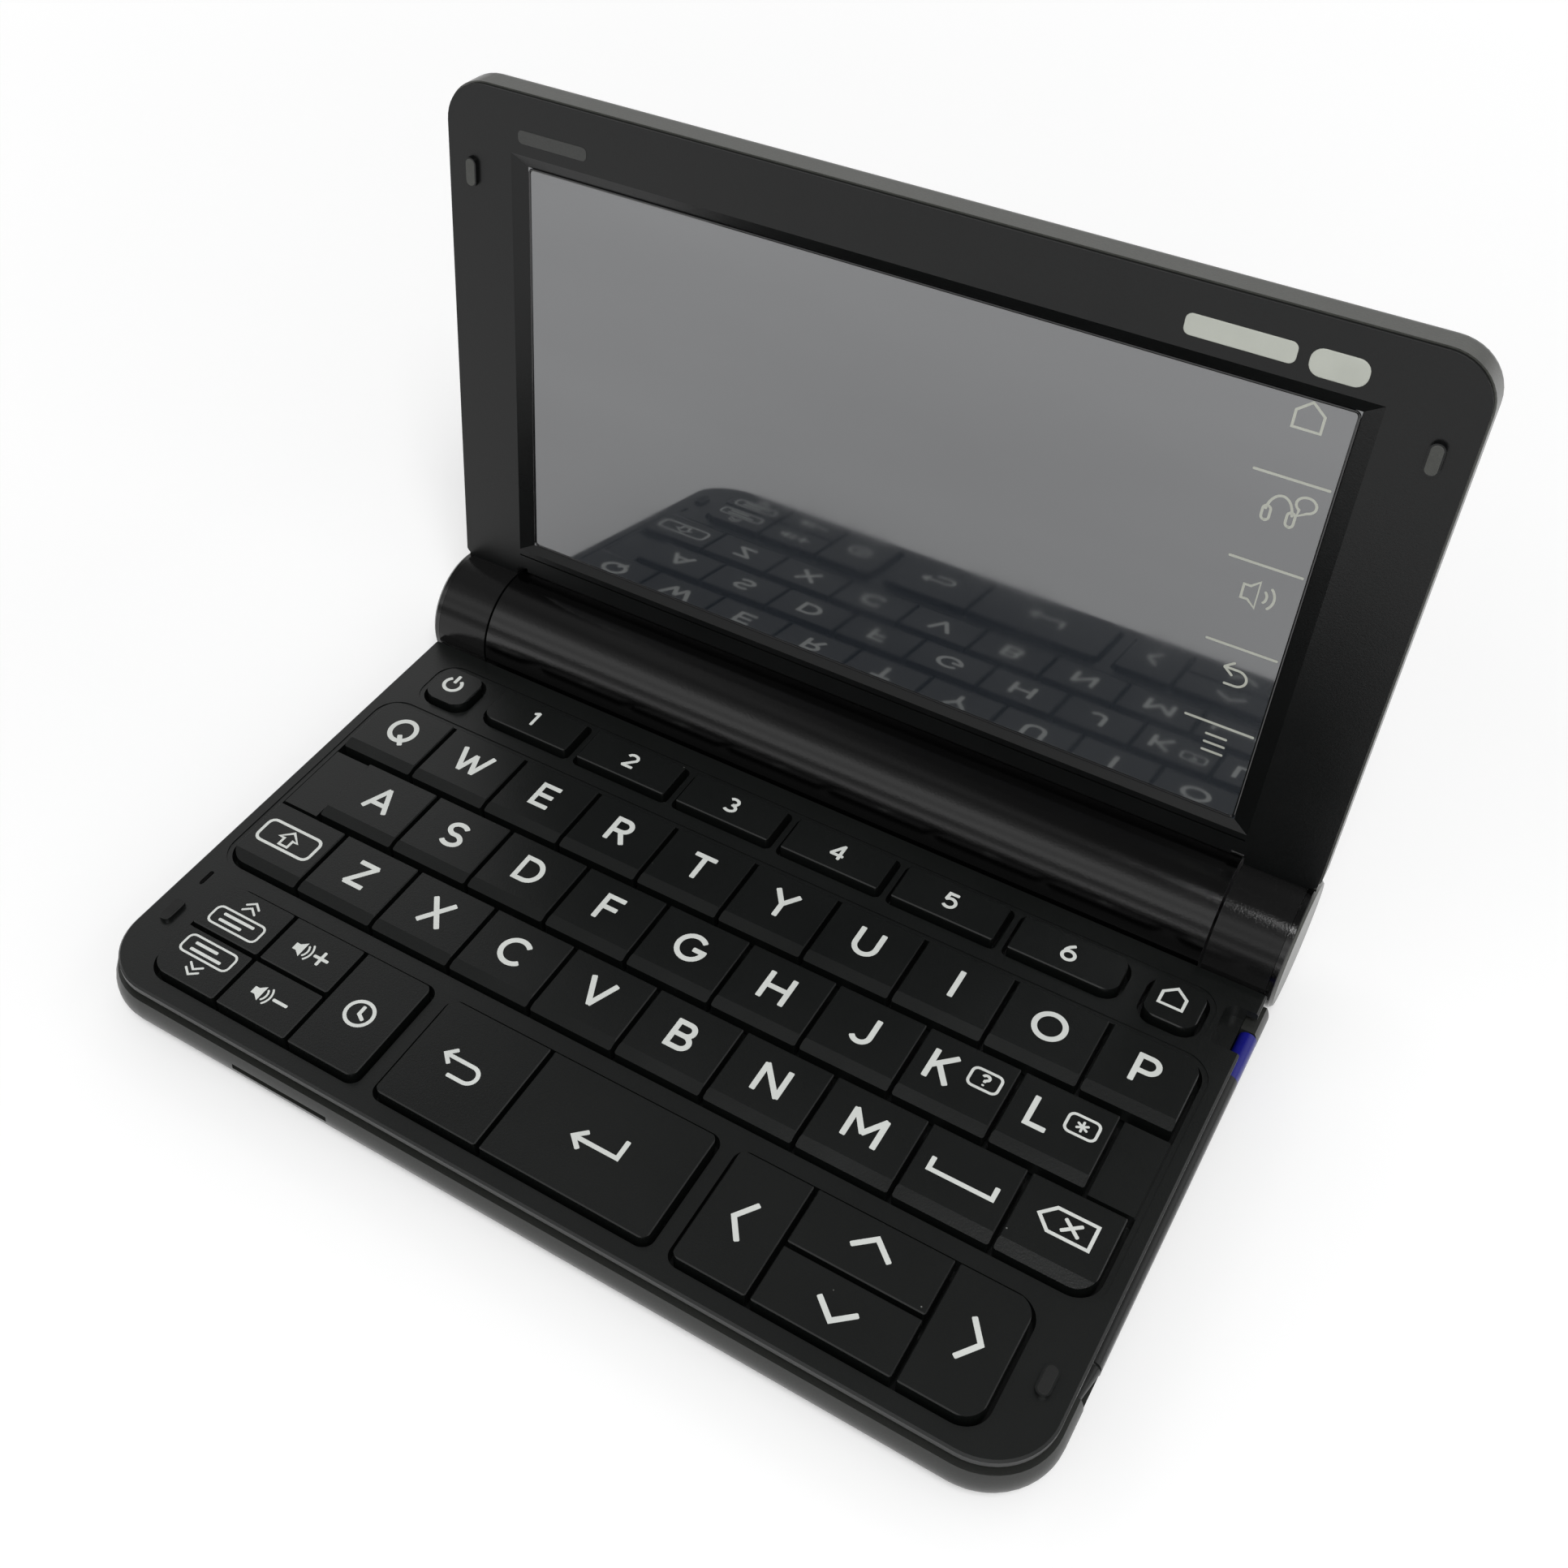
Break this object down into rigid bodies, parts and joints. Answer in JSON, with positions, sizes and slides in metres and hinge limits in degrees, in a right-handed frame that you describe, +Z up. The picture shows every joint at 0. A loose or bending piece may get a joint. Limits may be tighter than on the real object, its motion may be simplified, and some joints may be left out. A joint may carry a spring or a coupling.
{
  "type": "electronic dictionary",
  "caption": "Clamshell pocket electronic dictionary with a full keyboard, a touch screen in its lid, a round battery barrel at the hinge and a side stylus.",
  "frame": {"origin": "middle of the bounding box, on the table that the feet stand on, with the lid open as pictured", "axes": "+X along the hinge to the user's right, +Y away from the user, +Z up"},
  "size_m": [0.148, 0.1064, 0.1035],
  "materials": {
    "deck_plastic": "fine-grained matte",
    "case_plastic": "fine-grained matte",
    "cover_plastic": "fine-grained matte",
    "cell_sleeve": "satin sleeve",
    "board": "solder-masked board",
    "mat_rubber": "matte",
    "frame_plastic": "fine-grained matte",
    "shell_plastic": "fine-grained satin",
    "touch_glass": "glossy, dark while off",
    "display_panel": "matte",
    "pin_steel": "ground",
    "stylus_plastic": "satin",
    "key_plastic": "fine-grained matte"
  },
  "bodies": {
    "base": {"upper_case": "deck_plastic", "lower_case": "case_plastic", "battery_cells": "cell_sleeve", "circuit_board": "board", "key_mat": "mat_rubber"},
    "lid": {"lid_frame": "frame_plastic", "lid_cover": "shell_plastic", "screen_glass": "touch_glass", "lcd_module": "display_panel", "hinge_pins": "pin_steel"},
    "battery_cover": {"battery_cover": "cover_plastic"},
    "stylus": {"stylus": "stylus_plastic"},
    "key_power": {"key_power": "key_plastic"},
    "key_home": {"key_home": "key_plastic"},
    "key_shortcut_1": {"key_shortcut_1": "key_plastic"},
    "key_shortcut_2": {"key_shortcut_2": "key_plastic"},
    "key_shortcut_3": {"key_shortcut_3": "key_plastic"},
    "key_shortcut_4": {"key_shortcut_4": "key_plastic"},
    "key_shortcut_5": {"key_shortcut_5": "key_plastic"},
    "key_shortcut_6": {"key_shortcut_6": "key_plastic"},
    "key_q": {"key_q": "key_plastic"},
    "key_w": {"key_w": "key_plastic"},
    "key_e": {"key_e": "key_plastic"},
    "key_r": {"key_r": "key_plastic"},
    "key_t": {"key_t": "key_plastic"},
    "key_y": {"key_y": "key_plastic"},
    "key_u": {"key_u": "key_plastic"},
    "key_i": {"key_i": "key_plastic"},
    "key_o": {"key_o": "key_plastic"},
    "key_p": {"key_p": "key_plastic"},
    "key_a": {"key_a": "key_plastic"},
    "key_s": {"key_s": "key_plastic"},
    "key_d": {"key_d": "key_plastic"},
    "key_f": {"key_f": "key_plastic"},
    "key_g": {"key_g": "key_plastic"},
    "key_h": {"key_h": "key_plastic"},
    "key_j": {"key_j": "key_plastic"},
    "key_k": {"key_k": "key_plastic"},
    "key_l": {"key_l": "key_plastic"},
    "key_shift": {"key_shift": "key_plastic"},
    "key_z": {"key_z": "key_plastic"},
    "key_x": {"key_x": "key_plastic"},
    "key_c": {"key_c": "key_plastic"},
    "key_v": {"key_v": "key_plastic"},
    "key_b": {"key_b": "key_plastic"},
    "key_n": {"key_n": "key_plastic"},
    "key_m": {"key_m": "key_plastic"},
    "key_space": {"key_space": "key_plastic"},
    "key_delete": {"key_delete": "key_plastic"},
    "key_previous": {"key_previous": "key_plastic"},
    "key_volume_up": {"key_volume_up": "key_plastic"},
    "key_next": {"key_next": "key_plastic"},
    "key_volume_down": {"key_volume_down": "key_plastic"},
    "key_history": {"key_history": "key_plastic"},
    "key_back": {"key_back": "key_plastic"},
    "key_enter": {"key_enter": "key_plastic"},
    "key_left": {"key_left": "key_plastic"},
    "key_up": {"key_up": "key_plastic"},
    "key_down": {"key_down": "key_plastic"},
    "key_right": {"key_right": "key_plastic"}
  },
  "joints": [
    {"name": "lid_hinge", "type": "hinge", "parent": "base", "child": "lid", "pos_m": [0, 0.0409, 0.0105], "axis": [-1, 0, 0], "range_deg": [-93.8, 56.2]},
    {"name": "battery_cover_slide", "type": "slide", "parent": "base", "child": "battery_cover", "axis": [0, 1, 0], "range_m": [0, 0.01]},
    {"name": "stylus_pull", "type": "slide", "parent": "base", "child": "stylus", "axis": [1, 0, 0], "range_m": [0, 0.007]},
    {"name": "press_power", "type": "slide", "parent": "base", "child": "key_power", "axis": [0, 0, -1], "range_m": [0, 0.0008], "stiffness_N_per_m": 400, "springref_m": -0.0003},
    {"name": "press_home", "type": "slide", "parent": "base", "child": "key_home", "axis": [0, 0, -1], "range_m": [0, 0.0008], "stiffness_N_per_m": 400, "springref_m": -0.0003},
    {"name": "press_shortcut_1", "type": "slide", "parent": "base", "child": "key_shortcut_1", "axis": [0, 0, -1], "range_m": [0, 0.0008], "stiffness_N_per_m": 400, "springref_m": -0.0003},
    {"name": "press_shortcut_2", "type": "slide", "parent": "base", "child": "key_shortcut_2", "axis": [0, 0, -1], "range_m": [0, 0.0008], "stiffness_N_per_m": 400, "springref_m": -0.0003},
    {"name": "press_shortcut_3", "type": "slide", "parent": "base", "child": "key_shortcut_3", "axis": [0, 0, -1], "range_m": [0, 0.0008], "stiffness_N_per_m": 400, "springref_m": -0.0003},
    {"name": "press_shortcut_4", "type": "slide", "parent": "base", "child": "key_shortcut_4", "axis": [0, 0, -1], "range_m": [0, 0.0008], "stiffness_N_per_m": 400, "springref_m": -0.0003},
    {"name": "press_shortcut_5", "type": "slide", "parent": "base", "child": "key_shortcut_5", "axis": [0, 0, -1], "range_m": [0, 0.0008], "stiffness_N_per_m": 400, "springref_m": -0.0003},
    {"name": "press_shortcut_6", "type": "slide", "parent": "base", "child": "key_shortcut_6", "axis": [0, 0, -1], "range_m": [0, 0.0008], "stiffness_N_per_m": 400, "springref_m": -0.0003},
    {"name": "press_q", "type": "slide", "parent": "base", "child": "key_q", "axis": [0, 0, -1], "range_m": [0, 0.0008], "stiffness_N_per_m": 400, "springref_m": -0.0003},
    {"name": "press_w", "type": "slide", "parent": "base", "child": "key_w", "axis": [0, 0, -1], "range_m": [0, 0.0008], "stiffness_N_per_m": 400, "springref_m": -0.0003},
    {"name": "press_e", "type": "slide", "parent": "base", "child": "key_e", "axis": [0, 0, -1], "range_m": [0, 0.0008], "stiffness_N_per_m": 400, "springref_m": -0.0003},
    {"name": "press_r", "type": "slide", "parent": "base", "child": "key_r", "axis": [0, 0, -1], "range_m": [0, 0.0008], "stiffness_N_per_m": 400, "springref_m": -0.0003},
    {"name": "press_t", "type": "slide", "parent": "base", "child": "key_t", "axis": [0, 0, -1], "range_m": [0, 0.0008], "stiffness_N_per_m": 400, "springref_m": -0.0003},
    {"name": "press_y", "type": "slide", "parent": "base", "child": "key_y", "axis": [0, 0, -1], "range_m": [0, 0.0008], "stiffness_N_per_m": 400, "springref_m": -0.0003},
    {"name": "press_u", "type": "slide", "parent": "base", "child": "key_u", "axis": [0, 0, -1], "range_m": [0, 0.0008], "stiffness_N_per_m": 400, "springref_m": -0.0003},
    {"name": "press_i", "type": "slide", "parent": "base", "child": "key_i", "axis": [0, 0, -1], "range_m": [0, 0.0008], "stiffness_N_per_m": 400, "springref_m": -0.0003},
    {"name": "press_o", "type": "slide", "parent": "base", "child": "key_o", "axis": [0, 0, -1], "range_m": [0, 0.0008], "stiffness_N_per_m": 400, "springref_m": -0.0003},
    {"name": "press_p", "type": "slide", "parent": "base", "child": "key_p", "axis": [0, 0, -1], "range_m": [0, 0.0008], "stiffness_N_per_m": 400, "springref_m": -0.0003},
    {"name": "press_a", "type": "slide", "parent": "base", "child": "key_a", "axis": [0, 0, -1], "range_m": [0, 0.0008], "stiffness_N_per_m": 400, "springref_m": -0.0003},
    {"name": "press_s", "type": "slide", "parent": "base", "child": "key_s", "axis": [0, 0, -1], "range_m": [0, 0.0008], "stiffness_N_per_m": 400, "springref_m": -0.0003},
    {"name": "press_d", "type": "slide", "parent": "base", "child": "key_d", "axis": [0, 0, -1], "range_m": [0, 0.0008], "stiffness_N_per_m": 400, "springref_m": -0.0003},
    {"name": "press_f", "type": "slide", "parent": "base", "child": "key_f", "axis": [0, 0, -1], "range_m": [0, 0.0008], "stiffness_N_per_m": 400, "springref_m": -0.0003},
    {"name": "press_g", "type": "slide", "parent": "base", "child": "key_g", "axis": [0, 0, -1], "range_m": [0, 0.0008], "stiffness_N_per_m": 400, "springref_m": -0.0003},
    {"name": "press_h", "type": "slide", "parent": "base", "child": "key_h", "axis": [0, 0, -1], "range_m": [0, 0.0008], "stiffness_N_per_m": 400, "springref_m": -0.0003},
    {"name": "press_j", "type": "slide", "parent": "base", "child": "key_j", "axis": [0, 0, -1], "range_m": [0, 0.0008], "stiffness_N_per_m": 400, "springref_m": -0.0003},
    {"name": "press_k", "type": "slide", "parent": "base", "child": "key_k", "axis": [0, 0, -1], "range_m": [0, 0.0008], "stiffness_N_per_m": 400, "springref_m": -0.0003},
    {"name": "press_l", "type": "slide", "parent": "base", "child": "key_l", "axis": [0, 0, -1], "range_m": [0, 0.0008], "stiffness_N_per_m": 400, "springref_m": -0.0003},
    {"name": "press_shift", "type": "slide", "parent": "base", "child": "key_shift", "axis": [0, 0, -1], "range_m": [0, 0.0008], "stiffness_N_per_m": 400, "springref_m": -0.0003},
    {"name": "press_z", "type": "slide", "parent": "base", "child": "key_z", "axis": [0, 0, -1], "range_m": [0, 0.0008], "stiffness_N_per_m": 400, "springref_m": -0.0003},
    {"name": "press_x", "type": "slide", "parent": "base", "child": "key_x", "axis": [0, 0, -1], "range_m": [0, 0.0008], "stiffness_N_per_m": 400, "springref_m": -0.0003},
    {"name": "press_c", "type": "slide", "parent": "base", "child": "key_c", "axis": [0, 0, -1], "range_m": [0, 0.0008], "stiffness_N_per_m": 400, "springref_m": -0.0003},
    {"name": "press_v", "type": "slide", "parent": "base", "child": "key_v", "axis": [0, 0, -1], "range_m": [0, 0.0008], "stiffness_N_per_m": 400, "springref_m": -0.0003},
    {"name": "press_b", "type": "slide", "parent": "base", "child": "key_b", "axis": [0, 0, -1], "range_m": [0, 0.0008], "stiffness_N_per_m": 400, "springref_m": -0.0003},
    {"name": "press_n", "type": "slide", "parent": "base", "child": "key_n", "axis": [0, 0, -1], "range_m": [0, 0.0008], "stiffness_N_per_m": 400, "springref_m": -0.0003},
    {"name": "press_m", "type": "slide", "parent": "base", "child": "key_m", "axis": [0, 0, -1], "range_m": [0, 0.0008], "stiffness_N_per_m": 400, "springref_m": -0.0003},
    {"name": "press_space", "type": "slide", "parent": "base", "child": "key_space", "axis": [0, 0, -1], "range_m": [0, 0.0008], "stiffness_N_per_m": 400, "springref_m": -0.0003},
    {"name": "press_delete", "type": "slide", "parent": "base", "child": "key_delete", "axis": [0, 0, -1], "range_m": [0, 0.0008], "stiffness_N_per_m": 400, "springref_m": -0.0003},
    {"name": "press_previous", "type": "slide", "parent": "base", "child": "key_previous", "axis": [0, 0, -1], "range_m": [0, 0.0008], "stiffness_N_per_m": 400, "springref_m": -0.0003},
    {"name": "press_volume_up", "type": "slide", "parent": "base", "child": "key_volume_up", "axis": [0, 0, -1], "range_m": [0, 0.0008], "stiffness_N_per_m": 400, "springref_m": -0.0003},
    {"name": "press_next", "type": "slide", "parent": "base", "child": "key_next", "axis": [0, 0, -1], "range_m": [0, 0.0008], "stiffness_N_per_m": 400, "springref_m": -0.0003},
    {"name": "press_volume_down", "type": "slide", "parent": "base", "child": "key_volume_down", "axis": [0, 0, -1], "range_m": [0, 0.0008], "stiffness_N_per_m": 400, "springref_m": -0.0003},
    {"name": "press_history", "type": "slide", "parent": "base", "child": "key_history", "axis": [0, 0, -1], "range_m": [0, 0.0008], "stiffness_N_per_m": 400, "springref_m": -0.0003},
    {"name": "press_back", "type": "slide", "parent": "base", "child": "key_back", "axis": [0, 0, -1], "range_m": [0, 0.0008], "stiffness_N_per_m": 400, "springref_m": -0.0003},
    {"name": "press_enter", "type": "slide", "parent": "base", "child": "key_enter", "axis": [0, 0, -1], "range_m": [0, 0.0008], "stiffness_N_per_m": 400, "springref_m": -0.0003},
    {"name": "press_left", "type": "slide", "parent": "base", "child": "key_left", "axis": [0, 0, -1], "range_m": [0, 0.0008], "stiffness_N_per_m": 400, "springref_m": -0.0003},
    {"name": "press_up", "type": "slide", "parent": "base", "child": "key_up", "axis": [0, 0, -1], "range_m": [0, 0.0008], "stiffness_N_per_m": 400, "springref_m": -0.0003},
    {"name": "press_down", "type": "slide", "parent": "base", "child": "key_down", "axis": [0, 0, -1], "range_m": [0, 0.0008], "stiffness_N_per_m": 400, "springref_m": -0.0003},
    {"name": "press_right", "type": "slide", "parent": "base", "child": "key_right", "axis": [0, 0, -1], "range_m": [0, 0.0008], "stiffness_N_per_m": 400, "springref_m": -0.0003}
  ]
}
